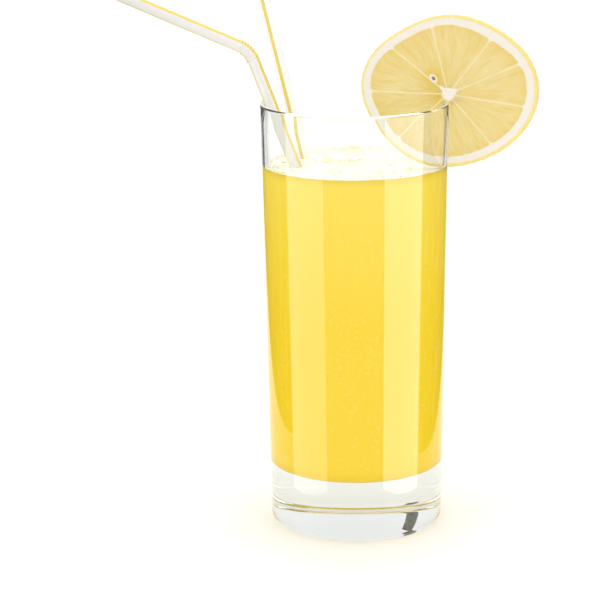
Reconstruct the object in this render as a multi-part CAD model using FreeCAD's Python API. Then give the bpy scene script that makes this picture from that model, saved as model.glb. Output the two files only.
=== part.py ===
import FreeCAD, Part
import math
import os

# A highball glass of lemonade with two bendy straws and a slice of lemon on its rim.
# Lengths are in millimetres and angles in degrees. +Z is up, and the origin is the middle of
# the glass's foot, on the surface that it stands on. Angles round the glass start at +X and
# run anticlockwise seen from above. The slice is on the rim at +X, the straws lean towards -X.

# Glass: a tall tumbler that tapers to a thick, clear base.
GLASS_HEIGHT = 151.2
RIM_RADIUS = 33.0
FOOT_RADIUS = 30.3
RIM_WALL = 1.6
LOWER_WALL = 2.3
BASE_THICKNESS = 21.0
HEEL_RADIUS = 2.4
CAVITY_CORNER = 5.0
FOOT_RING_WIDTH = 4.5
PUNT_DEPTH = 1.4
PUNT_SLOPE_WIDTH = 3.0

# Drink: how far its level lies below the rim.
DRINK_BELOW_RIM = 22.7

# Straws: two of a kind, hollow, each with a ribbed stretch where it bends.
STRAW_DIAMETER = 4.4
STRAW_WALL = 0.25
STRAW_BEND_RADIUS = 10.0
STRAW_RIBS = 8
STRAW_RIB_HEIGHT = 0.35

# Left straw: where it meets the rim, where its foot stands, how far beyond the rim it bends,
# and its arm.
LEFT_RIM_ANGLE = 185.6
LEFT_FOOT_ANGLE = -26.3
LEFT_FOOT_FROM_WALL = 4.5
LEFT_RIM_TO_BEND = 20.6
LEFT_ARM_LENGTH = 66.4
LEFT_ARM_ANGLE = 180.0
LEFT_ARM_RISE = 23.5

# Back straw: the same sizes for the one behind it.
BACK_RIM_ANGLE = 144.7
BACK_FOOT_ANGLE = -56.1
BACK_FOOT_FROM_WALL = 12.5
BACK_RIM_TO_BEND = 41.2
BACK_ARM_LENGTH = 48.0
BACK_ARM_ANGLE = 172.0
BACK_ARM_RISE = 30.0

# Lemon slice: an uneven oval. Its slit ends on the rim, a little below its middle.
SLICE_WIDTH = 61.0
SLICE_HEIGHT = 52.0
SLICE_THICKNESS = 4.2
SLICE_UNEVENNESS = 0.016
SLICE_RIM_ANGLE = -10.0
SLICE_LEAN = 6.0
SLICE_MIDDLE_OUT = 1.1
SLICE_MIDDLE_UP = 4.3

# Clearances: drink to what it touches, and a resting piece to what carries it.
DRINK_GAP = 0.1
SEAT_GAP = 0.2


def point(x, y, z):
    return FreeCAD.Vector(x, y, z)


def heading(angle, rise=0.0):
    """The unit vector that points at an angle round the glass and rises from level."""
    turn = math.radians(angle)
    lift = math.radians(rise)
    return point(math.cos(lift) * math.cos(turn), math.cos(lift) * math.sin(turn), math.sin(lift))


def revolved(edges):
    """The solid of a closed outline in the XZ plane, turned about the glass's axis."""
    face = Part.Face(Part.Wire(edges))
    return face.revolve(point(0, 0, 0), point(0, 0, 1), 360)


def line(start, end):
    return Part.LineSegment(start, end).toShape()


def arc(start, middle, end):
    return Part.Arc(start, middle, end).toShape()


def circle(radius, middle, facing):
    return Part.Wire(Part.makeCircle(radius, middle, facing))


# ---- glass ----

def outer_radius(height):
    return FOOT_RADIUS + (RIM_RADIUS - FOOT_RADIUS) * height / GLASS_HEIGHT


def wall_thickness(height):
    share = (height - BASE_THICKNESS) / (GLASS_HEIGHT - BASE_THICKNESS)
    return LOWER_WALL + (RIM_WALL - LOWER_WALL) * share


def inner_radius(height):
    return outer_radius(height) - wall_thickness(height)


def rounded_corner(before, corner, after, radius):
    """The two tangent points and the arc that round a corner of an outline."""
    back = (before - corner).normalize()
    ahead = (after - corner).normalize()
    half_turn = back.getAngle(ahead) / 2
    reach = radius / math.tan(half_turn)
    start = corner + back * reach
    end = corner + ahead * reach
    inwards = (back + ahead).normalize()
    middle = corner + inwards * (radius / math.sin(half_turn) - radius)
    return start, end, arc(start, middle, end)


def glass():
    rim_round = RIM_WALL / 2
    rim_height = GLASS_HEIGHT - rim_round
    floor_middle = point(0, 0, BASE_THICKNESS)
    floor_corner = point(inner_radius(BASE_THICKNESS), 0, BASE_THICKNESS)
    rim_inside = point(inner_radius(rim_height), 0, rim_height)
    rim_top = point(inner_radius(rim_height) + wall_thickness(rim_height) / 2, 0, GLASS_HEIGHT)
    rim_outside = point(outer_radius(rim_height), 0, rim_height)
    heel = point(FOOT_RADIUS, 0, 0)
    ring_inside = point(FOOT_RADIUS - HEEL_RADIUS - FOOT_RING_WIDTH, 0, 0)
    punt_edge = point(ring_inside.x - PUNT_SLOPE_WIDTH, 0, PUNT_DEPTH)
    punt_middle = point(0, 0, PUNT_DEPTH)

    corner_start, corner_end, corner_arc = rounded_corner(
        floor_middle, floor_corner, rim_inside, CAVITY_CORNER
    )
    heel_start, heel_end, heel_arc = rounded_corner(rim_outside, heel, ring_inside, HEEL_RADIUS)
    return revolved([
        line(floor_middle, corner_start),
        corner_arc,
        line(corner_end, rim_inside),
        arc(rim_inside, rim_top, rim_outside),
        line(rim_outside, heel_start),
        heel_arc,
        line(heel_end, ring_inside),
        line(ring_inside, punt_edge),
        line(punt_edge, punt_middle),
        line(punt_middle, floor_middle),
    ])


# ---- drink ----

def drink_level():
    return GLASS_HEIGHT - DRINK_BELOW_RIM


def drink(straws, slice_of_lemon):
    bottom = BASE_THICKNESS + DRINK_GAP
    floor_middle = point(0, 0, bottom)
    floor_corner = point(inner_radius(bottom) - DRINK_GAP, 0, bottom)
    surface_edge = point(inner_radius(drink_level()) - DRINK_GAP, 0, drink_level())
    surface_middle = point(0, 0, drink_level())
    corner_start, corner_end, corner_arc = rounded_corner(
        floor_middle, floor_corner, surface_edge, CAVITY_CORNER - DRINK_GAP
    )
    body = revolved([
        line(floor_middle, corner_start),
        corner_arc,
        line(corner_end, surface_edge),
        line(surface_edge, surface_middle),
        line(surface_middle, floor_middle),
    ])
    for straw_hole in straws:
        body = body.cut(straw_hole)
    return body.cut(slice_of_lemon)


# ---- straws ----

class StrawPath:
    """The centre line of a straw: a straight shaft, a tangent bend and a straight arm."""

    def __init__(self, rim_angle, foot_angle, foot_from_wall, rim_to_bend,
                 arm_length, arm_angle, arm_rise):
        radius = STRAW_DIAMETER / 2
        # The shaft's axis passes the rim a straw's radius inside the glass. It is tilted, so
        # the level distance from the axis to its side is a little more than the radius.
        rim_height = GLASS_HEIGHT - RIM_WALL / 2
        foot_reach = inner_radius(BASE_THICKNESS) - foot_from_wall
        foot_level = heading(foot_angle) * foot_reach
        rim_level = heading(rim_angle) * (inner_radius(rim_height) - radius - SEAT_GAP)
        shaft_run = (rim_level - foot_level).Length
        tilt = math.atan2(shaft_run, rim_height - BASE_THICKNESS)
        rim_reach = inner_radius(rim_height) - radius / math.cos(tilt) - SEAT_GAP
        foot_height = BASE_THICKNESS + radius * math.sin(tilt) + SEAT_GAP

        self.foot = foot_level + point(0, 0, foot_height)
        rim_point = heading(rim_angle) * rim_reach + point(0, 0, rim_height)
        self.shaft = (rim_point - self.foot).normalize()
        self.arm = heading(arm_angle, arm_rise)
        self.turn = self.shaft.getAngle(self.arm)
        reach = STRAW_BEND_RADIUS * math.tan(self.turn / 2)
        corner = rim_point + self.shaft * rim_to_bend
        self.bend_start = corner - self.shaft * reach
        self.bend_end = corner + self.arm * reach
        self.tip = corner + self.arm * arm_length
        self.inwards = (self.arm - self.shaft * math.cos(self.turn)).normalize()

    def on_bend(self, angle):
        """The point on the bend that lies an angle past its start."""
        centre = self.bend_start + self.inwards * STRAW_BEND_RADIUS
        spoke = self.shaft * math.sin(angle) - self.inwards * math.cos(angle)
        return centre + spoke * STRAW_BEND_RADIUS

    def along_bend(self, angle):
        return self.shaft * math.cos(angle) + self.inwards * math.sin(angle)

    def rod(self, radius, past_ends=0.0):
        """A solid rod along the whole path. Its bend is ribbed: rings of a larger radius
        alternate with rings of its own, and straight skins join each ring to the next."""
        rings = [circle(radius, self.foot - self.shaft * past_ends, self.shaft)]
        for number in range(2 * STRAW_RIBS + 1):
            angle = self.turn * number / (2 * STRAW_RIBS)
            crest = STRAW_RIB_HEIGHT * (number % 2)
            rings.append(circle(radius + crest, self.on_bend(angle), self.along_bend(angle)))
        rings.append(circle(radius, self.tip + self.arm * past_ends, self.arm))
        return Part.makeLoft(rings, True, True)


def straw(path):
    past_ends = STRAW_DIAMETER
    bore = path.rod(STRAW_DIAMETER / 2 - STRAW_WALL, past_ends)
    return path.rod(STRAW_DIAMETER / 2).cut(bore)


# ---- lemon slice ----

def slice_outline_radius(angle):
    """The distance from the slice's middle to its rind, with three gentle waves on the oval."""
    oval = 1 / math.hypot(math.cos(angle) / (SLICE_WIDTH / 2), math.sin(angle) / (SLICE_HEIGHT / 2))
    waves = (
        math.cos(4 * angle + math.radians(28))
        + 0.5 * math.cos(3 * angle - math.radians(72))
        + 0.5 * math.cos(5 * angle - math.radians(119))
    )
    return oval * (1 + SLICE_UNEVENNESS * waves)


def rim_and_wall(gap):
    """The rim and wall of the glass, grown by a gap, down to the cavity's floor."""
    return revolved([
        line(point(inner_radius(BASE_THICKNESS) - gap, 0, BASE_THICKNESS),
             point(outer_radius(BASE_THICKNESS) + gap, 0, BASE_THICKNESS)),
        line(point(outer_radius(BASE_THICKNESS) + gap, 0, BASE_THICKNESS),
             point(RIM_RADIUS + gap, 0, GLASS_HEIGHT + gap)),
        line(point(RIM_RADIUS + gap, 0, GLASS_HEIGHT + gap),
             point(RIM_RADIUS - RIM_WALL - gap, 0, GLASS_HEIGHT + gap)),
        line(point(RIM_RADIUS - RIM_WALL - gap, 0, GLASS_HEIGHT + gap),
             point(inner_radius(BASE_THICKNESS) - gap, 0, BASE_THICKNESS)),
    ])


def whole_slice(grow=0.0):
    """The slice without its slit, grown all round by a gap."""
    outwards = heading(SLICE_RIM_ANGLE)
    towards_back = heading(SLICE_RIM_ANGLE + 90)
    lean = math.radians(SLICE_LEAN)
    upwards = point(0, 0, 1) * math.cos(lean) + towards_back * math.sin(lean)
    thickness_way = outwards.cross(upwards)
    rim_top = outwards * (RIM_RADIUS - RIM_WALL / 2) + point(0, 0, GLASS_HEIGHT)
    middle = rim_top + outwards * SLICE_MIDDLE_OUT + upwards * SLICE_MIDDLE_UP
    front = middle - thickness_way * (SLICE_THICKNESS / 2 + grow)

    outline_points = []
    point_count = 40
    for number in range(point_count):
        angle = 2 * math.pi * number / point_count
        radius = slice_outline_radius(angle) + grow
        across = outwards * (radius * math.cos(angle))
        up = upwards * (radius * math.sin(angle))
        outline_points.append(front + across + up)
    rind = Part.BSplineCurve()
    rind.interpolate(outline_points, PeriodicFlag=True)
    face = Part.Face(Part.Wire(rind.toShape()))
    return face.extrude(thickness_way * (SLICE_THICKNESS + 2 * grow))


def lemon_slice():
    return whole_slice().cut(rim_and_wall(SEAT_GAP))


# ---- pieces ----

left_path = StrawPath(LEFT_RIM_ANGLE, LEFT_FOOT_ANGLE, LEFT_FOOT_FROM_WALL, LEFT_RIM_TO_BEND,
                      LEFT_ARM_LENGTH, LEFT_ARM_ANGLE, LEFT_ARM_RISE)
back_path = StrawPath(BACK_RIM_ANGLE, BACK_FOOT_ANGLE, BACK_FOOT_FROM_WALL, BACK_RIM_TO_BEND,
                      BACK_ARM_LENGTH, BACK_ARM_ANGLE, BACK_ARM_RISE)
hole_radius = STRAW_DIAMETER / 2 + DRINK_GAP
straw_holes = [path.rod(hole_radius, DRINK_GAP) for path in (left_path, back_path)]

pieces = {
    "glass": glass(),
    "lemonade": drink(straw_holes, whole_slice(DRINK_GAP)),
    "left_straw": straw(left_path),
    "back_straw": straw(back_path),
    "lemon_slice": lemon_slice(),
}

os.makedirs("parts", exist_ok=True)
for name, shape in pieces.items():
    shape.exportStep(f"parts/{name}.step")
    print(name, "solids", len(shape.Solids), "valid", shape.isValid(), "volume mm3", round(shape.Volume))
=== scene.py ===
import math

import bmesh
import bpy
import numpy as np
from mathutils import Matrix, Vector
from mathutils.kdtree import KDTree


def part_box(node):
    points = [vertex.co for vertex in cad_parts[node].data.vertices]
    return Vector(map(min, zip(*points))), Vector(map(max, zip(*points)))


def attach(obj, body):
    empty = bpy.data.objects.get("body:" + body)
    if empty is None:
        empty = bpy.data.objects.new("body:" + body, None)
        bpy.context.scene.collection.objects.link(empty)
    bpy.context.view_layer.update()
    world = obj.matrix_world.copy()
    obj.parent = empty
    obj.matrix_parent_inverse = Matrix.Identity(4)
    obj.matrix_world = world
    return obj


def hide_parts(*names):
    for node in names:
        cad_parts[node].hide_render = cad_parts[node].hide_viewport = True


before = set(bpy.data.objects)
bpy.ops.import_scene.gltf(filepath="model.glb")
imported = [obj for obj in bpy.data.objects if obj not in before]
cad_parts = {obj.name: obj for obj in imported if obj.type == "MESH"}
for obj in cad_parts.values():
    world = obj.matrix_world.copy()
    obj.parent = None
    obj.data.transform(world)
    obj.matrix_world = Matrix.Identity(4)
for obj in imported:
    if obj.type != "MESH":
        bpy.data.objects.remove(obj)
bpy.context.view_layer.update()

# A highball glass of cloudy lemonade, with two striped bendy straws and a lemon slice on its rim.
# Lengths are in metres. +Z is up and the glass's axis is the Z axis.

MM = 0.001
SAME_PLACE = 0.002 * MM     # points nearer than this are one, at a shape's seams and poles

# ---- sizes read from the frame ----


def section(node_name, axis, value):
    """The points where a node's triangle edges cross the plane where this axis has this value."""
    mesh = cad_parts[node_name].data
    places = np.array([vertex.co for vertex in mesh.vertices])
    ends = np.array([edge.vertices for edge in mesh.edges])
    first, last = places[ends[:, 0]], places[ends[:, 1]]
    crosses = (first[:, axis] - value) * (last[:, axis] - value) < 0
    first, last = first[crosses], last[crosses]
    share = ((value - first[:, axis]) / (last[:, axis] - first[:, axis]))[:, None]
    return first + (last - first) * share


def section_middle(node_name, axis, value):
    points = section(node_name, axis, value)
    return Vector((points.min(0) + points.max(0)) / 2)


def section_radii(node_name, height):
    """The least and greatest distance of a node from the glass's axis, at a height."""
    radii = np.hypot(*section(node_name, 2, height)[:, :2].T)
    return radii.min(), radii.max()


RIM_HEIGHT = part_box("glass")[1].z
FLOOR_OF_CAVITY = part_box("lemonade")[0].z
DRINK_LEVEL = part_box("lemonade")[1].z

# The wall is measured clear of the rounded rim and of the cavity's rounded corner.
UPPER_HEIGHT = RIM_HEIGHT - 4 * MM
LOWER_HEIGHT = FLOOR_OF_CAVITY + 12 * MM
UPPER_INNER, UPPER_OUTER = section_radii("glass", UPPER_HEIGHT)
LOWER_INNER, LOWER_OUTER = section_radii("glass", LOWER_HEIGHT)


def radius_at(height, lower, upper):
    """The radius of a straight tapered wall at a height, from its radii at the two heights."""
    share = (height - LOWER_HEIGHT) / (UPPER_HEIGHT - LOWER_HEIGHT)
    return lower + (upper - lower) * share


def inner_radius(height):
    return radius_at(height, LOWER_INNER, UPPER_INNER)


def outer_radius(height):
    return radius_at(height, LOWER_OUTER, UPPER_OUTER)


# ---- small tools ----


def srgb(code):
    """A hex colour as the linear values that a shader takes."""
    parts = [int(code[i:i + 2], 16) / 255 for i in (1, 3, 5)]
    linear = [p / 12.92 if p <= 0.04045 else ((p + 0.055) / 1.055) ** 2.4 for p in parts]
    return (*linear, 1.0)


def add(tree, kind, inputs=(), **settings):
    """Adds a node. Settings are its properties; inputs gives each socket a value or a link."""
    node = tree.nodes.new(kind)
    for name, value in settings.items():
        setattr(node, name, value)
    for name, value in dict(inputs).items():
        if isinstance(value, bpy.types.NodeSocket):
            tree.links.new(value, node.inputs[name])
        else:
            node.inputs[name].default_value = value
    return node


def new_material(name):
    material = bpy.data.materials.new(name)
    material.use_nodes = True
    material.node_tree.nodes.clear()
    return material, material.node_tree


def new_piece(name, places, faces, materials):
    mesh = bpy.data.meshes.new(name)
    mesh.from_pydata([tuple(p) for p in places], [], [tuple(f) for f in faces])
    for material in materials:
        mesh.materials.append(material)
    mesh.polygons.foreach_set("use_smooth", np.full(len(mesh.polygons), True))
    mesh.validate()
    piece = bpy.data.objects.new(name, mesh)
    bpy.context.scene.collection.objects.link(piece)
    return piece


def give_values(piece, name, values):
    """Stores one number for each vertex, which a material reads by name."""
    attribute = piece.data.attributes.new(name, "FLOAT", "POINT")
    attribute.data.foreach_set("value", np.asarray(values, np.float32))


def new_line(name, points):
    """A piece that is a line through points, for a node tree to work on."""
    mesh = bpy.data.meshes.new(name)
    mesh.from_pydata(points, [(i, i + 1) for i in range(len(points) - 1)], [])
    piece = bpy.data.objects.new(name, mesh)
    bpy.context.scene.collection.objects.link(piece)
    return piece


def add_nodes(piece, tree, values):
    """Gives a piece a node tree, with its inputs set by the identifiers of their sockets."""
    modifier = piece.modifiers.new(tree.name, "NODES")
    modifier.node_group = tree
    for item in tree.interface.items_tree:
        if item.in_out == "INPUT" and item.name in values:
            modifier[item.identifier] = values[item.name]


def bake(piece):
    """Turns a piece with its modifiers into a plain mesh of one material and removes the
    modifiers. A shape that a tree makes has an empty slot too, which goes."""
    scene_graph = bpy.context.evaluated_depsgraph_get()
    mesh = bpy.data.meshes.new_from_object(piece.evaluated_get(scene_graph))
    piece.modifiers.clear()
    piece.data = mesh
    mesh.name = piece.name
    finish = next(material for material in mesh.materials if material)
    mesh.materials.clear()
    mesh.materials.append(finish)
    mesh.polygons.foreach_set("material_index", np.zeros(len(mesh.polygons), np.int32))


def merge_doubles(piece):
    """Closes a piece's seams and poles, and points its faces outwards."""
    mesh = bmesh.new()
    mesh.from_mesh(piece.data)
    bmesh.ops.remove_doubles(mesh, verts=mesh.verts, dist=SAME_PLACE)
    bmesh.ops.recalc_face_normals(mesh, faces=mesh.faces)
    mesh.to_mesh(piece.data)
    mesh.free()


def hand_over(piece, node_name):
    """Lets a piece stand for a CAD node: the piece goes under the root body and the node is
    hidden.
    """
    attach(piece, "root")
    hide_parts(node_name)


def smooth_step(low, high, value):
    share = np.clip((value - low) / (high - low), 0, 1)
    return share * share * (3 - 2 * share)


MOST_TURNS_IN_WALL = 2.5


def hide_from_lighting(tree, shader, tint):
    """Glass bends what is seen through it, while light passes it straight, with a faint tint.
    A ray that the wall has turned back three times also leaves it straight."""
    clear = add(tree, "ShaderNodeBsdfTransparent", {"Color": tint})
    path = add(tree, "ShaderNodeLightPath").outputs
    trapped = add(tree, "ShaderNodeMath", {0: path["Glossy Depth"], 1: MOST_TURNS_IN_WALL},
                  operation="GREATER_THAN")
    lighting = add(tree, "ShaderNodeMath", {0: path["Is Shadow Ray"], 1: path["Is Diffuse Ray"]},
                   operation="MAXIMUM")
    straight = add(tree, "ShaderNodeMath", {0: lighting.outputs[0], 1: trapped.outputs[0]},
                   operation="MAXIMUM")
    return add(tree, "ShaderNodeMixShader",
               {0: straight.outputs[0], 1: shader, 2: clear.outputs[0]})


# ---- materials ----


def clear_glass():
    """Pressed soda-lime glass with a fire-polished skin: clear, hard and glossy, its walls a
    little wavy from the mould, with the faintest smears from handling. It takes some light
    over a length, so the thick base is greyer than the wall. Above the drink, painted shade
    darkens the wall's colour where it is seen edge on, so the empty wall has dark edges."""
    material, tree = new_material("pressed_soda_lime_glass")
    place = add(tree, "ShaderNodeTexCoord").outputs["Object"]
    waves = add(tree, "ShaderNodeTexNoise",
                {"Vector": place, "Scale": 1 / (22 * MM), "Detail": 1.0})
    smears = add(tree, "ShaderNodeTexNoise",
                 {"Vector": place, "Scale": 1 / (9 * MM), "Detail": 4.0})
    gloss = add(tree, "ShaderNodeMapRange", {
        "Value": smears.outputs["Fac"], "From Min": 0.55, "From Max": 0.85, "To Min": 0.0,
        "To Max": 0.03})
    bump = add(tree, "ShaderNodeBump", {
        "Height": waves.outputs["Fac"], "Distance": 0.05 * MM, "Strength": 0.4})
    height = add(tree, "ShaderNodeSeparateXYZ", {"Vector": place}).outputs["Z"]
    # Painted shade: above the drink, the glass's colour is darker where the wall is seen edge on.
    empty = add(tree, "ShaderNodeMapRange", {
        "Value": height, "From Min": DRINK_LEVEL, "From Max": DRINK_LEVEL + 2 * MM})
    slant = add(tree, "ShaderNodeLayerWeight", {"Blend": 0.5}).outputs["Facing"]
    edge = add(tree, "ShaderNodeMapRange", {"Value": slant, "From Min": 0.66, "From Max": 0.86})
    wall = add(tree, "ShaderNodeMath", {0: edge.outputs[0], 1: empty.outputs[0]},
               operation="MULTIPLY")
    tint = add(tree, "ShaderNodeMix", {
        "Factor": wall.outputs[0], "A": srgb("#FEFFFE"), "B": srgb("#C9CDC8")}, data_type="RGBA")
    shader = add(tree, "ShaderNodeBsdfPrincipled", {
        "Base Color": tint.outputs["Result"], "Roughness": gloss.outputs[0], "IOR": 1.5,
        "Transmission Weight": 1.0, "Normal": bump.outputs[0]})
    seen = hide_from_lighting(tree, shader.outputs[0], srgb("#FAFBF9"))
    within = add(tree, "ShaderNodeVolumeAbsorption", {"Color": srgb("#E0E3E3"), "Density": 15.0})
    add(tree, "ShaderNodeOutputMaterial", {
        "Surface": seen.outputs[0], "Volume": within.outputs[0]})
    return material


TOP_LIGHT_DEPTH = 52 * MM     # below the surface, over which the painted light from above fades and the drink grows deeper in colour


def cloudy_lemonade():
    """Cloudy lemonade behind glass: an even, opaque yellow with fine pulp in it, and painted
    light that makes it lighter towards the surface. Behind glass it hardly mirrors, so its
    IOR is that of glass over water."""
    material, tree = new_material("cloudy_lemonade_behind_glass")
    place = add(tree, "ShaderNodeTexCoord").outputs["Object"]
    height = add(tree, "ShaderNodeSeparateXYZ", {"Vector": place}).outputs["Z"]
    # Painted light: the drink's colour grows lighter towards the surface, where light from above
    # falls.
    painted_top_light = add(tree, "ShaderNodeMapRange", {
        "Value": height, "From Min": DRINK_LEVEL - TOP_LIGHT_DEPTH, "From Max": DRINK_LEVEL})
    body = add(tree, "ShaderNodeMix", {
        "Factor": painted_top_light.outputs[0], "A": srgb("#F6D022"), "B": srgb("#F8D94C")}, data_type="RGBA")
    pulp = add(tree, "ShaderNodeTexNoise",
               {"Vector": place, "Scale": 1 / (1.1 * MM), "Detail": 3.0})
    flecks = add(tree, "ShaderNodeMapRange", {
        "Value": pulp.outputs["Fac"], "From Min": 0.56, "From Max": 0.74, "To Max": 0.35})
    colour = add(tree, "ShaderNodeMix", {
        "Factor": flecks.outputs[0], "A": body.outputs["Result"], "B": srgb("#FBE48A")},
        data_type="RGBA")
    shader = add(tree, "ShaderNodeBsdfPrincipled", {
        "Base Color": colour.outputs["Result"], "Roughness": 0.25, "IOR": 1.13})
    add(tree, "ShaderNodeOutputMaterial", {"Surface": shader.outputs[0]})
    return material


def lemonade_surface():
    """The open surface: wet and level, with a thin film of froth and pulp. Its near-white colour
    is the froth's cream with painted light from above and a painted reflection of the white
    studio.
    """
    material, tree = new_material("lemonade_surface_froth_and_painted_light")
    place = add(tree, "ShaderNodeTexCoord").outputs["Object"]
    froth = add(tree, "ShaderNodeTexVoronoi", {"Vector": place, "Scale": 1 / (1.0 * MM)},
                feature="SMOOTH_F1")
    drifts = add(tree, "ShaderNodeTexNoise",
                 {"Vector": place, "Scale": 1 / (14 * MM), "Detail": 4.0})
    film = add(tree, "ShaderNodeMapRange", {
        "Value": drifts.outputs["Fac"], "From Min": 0.4, "From Max": 0.65})
    # Both colours are near white: the froth's cream with painted light from above and a painted
    # reflection of the white studio in it.
    colour = add(tree, "ShaderNodeMix", {
        "Factor": film.outputs[0], "A": srgb("#FCF4D2"), "B": srgb("#FEFDF6")}, data_type="RGBA")
    bump = add(tree, "ShaderNodeBump", {
        "Height": froth.outputs["Distance"], "Distance": 0.1 * MM, "Strength": 0.25})
    shader = add(tree, "ShaderNodeBsdfPrincipled", {
        "Base Color": colour.outputs["Result"], "Roughness": 0.12, "IOR": 1.34,
        "Normal": bump.outputs[0]})
    add(tree, "ShaderNodeOutputMaterial", {"Surface": shader.outputs[0]})
    return material


STRIPES = 3
STRIPE_SHARE = 0.26     # of the room that each stripe has round the straw
STRIPE_BLUR = 0.02


def striped_plastic():
    """Thin polypropylene straw: extruded, so smooth and softly glossy, milky white, with
    lengthwise stripes of yellow. Its body has painted light: a grey shaded copy for the
    straw at the left, and a white backlit copy for the straw at the back."""
    material, tree = new_material("striped_polypropylene")
    aside = add(tree, "ShaderNodeAttribute", attribute_name="off_stripe").outputs["Fac"]
    white = add(tree, "ShaderNodeAttribute", attribute_name="painted_backlight").outputs["Fac"]
    stripe = add(tree, "ShaderNodeMapRange", {
        "Value": aside, "From Min": STRIPE_SHARE / 2 + STRIPE_BLUR,
        "From Max": STRIPE_SHARE / 2 - STRIPE_BLUR})
    place = add(tree, "ShaderNodeTexCoord").outputs["Object"]
    grain = add(tree, "ShaderNodeTexNoise",
                {"Vector": place, "Scale": 1 / (2.5 * MM), "Detail": 3.0}).outputs["Fac"]
    ink = add(tree, "ShaderNodeMix", {
        "Factor": grain, "A": srgb("#E2C850"), "B": srgb("#EAD56A")}, data_type="RGBA")
    plain = add(tree, "ShaderNodeMix", {
        "Factor": grain, "A": srgb("#E3DFDA"), "B": srgb("#ECE9E4")}, data_type="RGBA")
    # Painted light: the body is grey where a straw is shaded and white where it is backlit, by a
    # value given to each straw.
    milky = add(tree, "ShaderNodeMix", {
        "Factor": white, "A": plain.outputs["Result"], "B": srgb("#FFFFFE")}, data_type="RGBA")
    colour = add(tree, "ShaderNodeMix", {
        "Factor": stripe.outputs[0], "A": milky.outputs["Result"], "B": ink.outputs["Result"]},
        data_type="RGBA")
    rough = add(tree, "ShaderNodeMapRange", {"Value": grain, "To Min": 0.24, "To Max": 0.36})
    bump = add(tree, "ShaderNodeBump", {
        "Height": grain, "Distance": 0.02 * MM, "Strength": 0.2})
    shader = add(tree, "ShaderNodeBsdfPrincipled", {
        "Base Color": colour.outputs["Result"], "Roughness": rough.outputs[0], "IOR": 1.49,
        "Subsurface Weight": 0.3, "Subsurface Radius": (1.0, 1.0, 0.9),
        "Subsurface Scale": 0.4 * MM, "Normal": bump.outputs[0]})
    add(tree, "ShaderNodeOutputMaterial", {"Surface": shader.outputs[0]})
    return material


def fresh_lemon():
    """A cut lemon: moist, glassy flesh of long juice sacs, thin pale skins between the
    segments, dry white pith and a thin waxy yellow zest full of oil pores."""
    material, tree = new_material("cut_lemon")
    read = {name: add(tree, "ShaderNodeAttribute", attribute_name=name).outputs["Fac"]
            for name in ("flesh", "zest", "sac_edge", "sac_tone", "pit", "skin", "ripe")}
    place = add(tree, "ShaderNodeTexCoord").outputs["Object"]
    fine = add(tree, "ShaderNodeTexNoise",
               {"Vector": place, "Scale": 1 / (0.9 * MM), "Detail": 4.0}).outputs["Fac"]
    broad = add(tree, "ShaderNodeTexNoise",
                {"Vector": place, "Scale": 1 / (7 * MM), "Detail": 3.0})
    edge = add(tree, "ShaderNodeMath", {0: read["sac_edge"], 1: 0.55}, operation="MULTIPLY")
    cloud = add(tree, "ShaderNodeMapRange", {
        "Value": broad.outputs["Fac"], "From Min": 0.35, "From Max": 0.7, "To Max": 0.35})
    flesh = srgb("#E2C879")
    for share, tone in ((read["sac_tone"], "#E6D292"), (edge.outputs[0], "#EBDBA6"),
                        (cloud.outputs[0], "#E2CA78"), (read["ripe"], "#DEBF4A"),
                        (read["skin"], "#EBDBA0")):
        flesh = add(tree, "ShaderNodeMix", {"Factor": share, "A": flesh, "B": srgb(tone)},
                    data_type="RGBA").outputs["Result"]
    pith, zest = [
        add(tree, "ShaderNodeMix", {"Factor": fine, "A": srgb(dark), "B": srgb(light)},
            data_type="RGBA").outputs["Result"]
        for dark, light in (("#E6DED1", "#EEE9DF"), ("#E4CB6A", "#EFDF98"))]
    colour = pith
    for name, tissue in (("flesh", flesh), ("zest", zest), ("pit", srgb("#A88258"))):
        colour = add(tree, "ShaderNodeMix", {"Factor": read[name], "A": colour, "B": tissue},
                     data_type="RGBA").outputs["Result"]
    rough = add(tree, "ShaderNodeMix", {"Factor": read["flesh"], "A": 0.6, "B": 0.22},
                data_type="FLOAT")
    pores = add(tree, "ShaderNodeTexVoronoi", {"Vector": place, "Scale": 1 / (1.2 * MM)},
                feature="SMOOTH_F1")
    relief = add(tree, "ShaderNodeMix", {
        "Factor": read["zest"], "A": fine, "B": pores.outputs["Distance"]}, data_type="FLOAT")
    bump = add(tree, "ShaderNodeBump", {
        "Height": relief.outputs["Result"], "Distance": 0.12 * MM, "Strength": 0.4})
    shader = add(tree, "ShaderNodeBsdfPrincipled", {
        "Base Color": colour, "Roughness": rough.outputs["Result"], "IOR": 1.38,
        "Subsurface Weight": 0.35, "Subsurface Radius": (1.0, 0.8, 0.35),
        "Subsurface Scale": 1.6 * MM, "Normal": bump.outputs[0]})
    add(tree, "ShaderNodeOutputMaterial", {"Surface": shader.outputs[0]})
    return material


def lemon_pulp():
    """Loose juice sacs: wet, thin-skinned and see-through yellow, so they look like pale
    grains that glisten."""
    material, tree = new_material("wet_lemon_pulp")
    place = add(tree, "ShaderNodeTexCoord").outputs["Object"]
    tone = add(tree, "ShaderNodeTexNoise", {"Vector": place, "Scale": 1 / (1.5 * MM)})
    colour = add(tree, "ShaderNodeMix", {
        "Factor": tone.outputs["Fac"], "A": srgb("#FAE796"), "B": srgb("#FDF4C8")},
        data_type="RGBA")
    shader = add(tree, "ShaderNodeBsdfPrincipled", {
        "Base Color": colour.outputs["Result"], "Roughness": 0.2, "IOR": 1.36,
        "Subsurface Weight": 0.4, "Subsurface Radius": (1.0, 0.8, 0.3),
        "Subsurface Scale": 0.6 * MM})
    add(tree, "ShaderNodeOutputMaterial", {"Surface": shader.outputs[0]})
    return material


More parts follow.
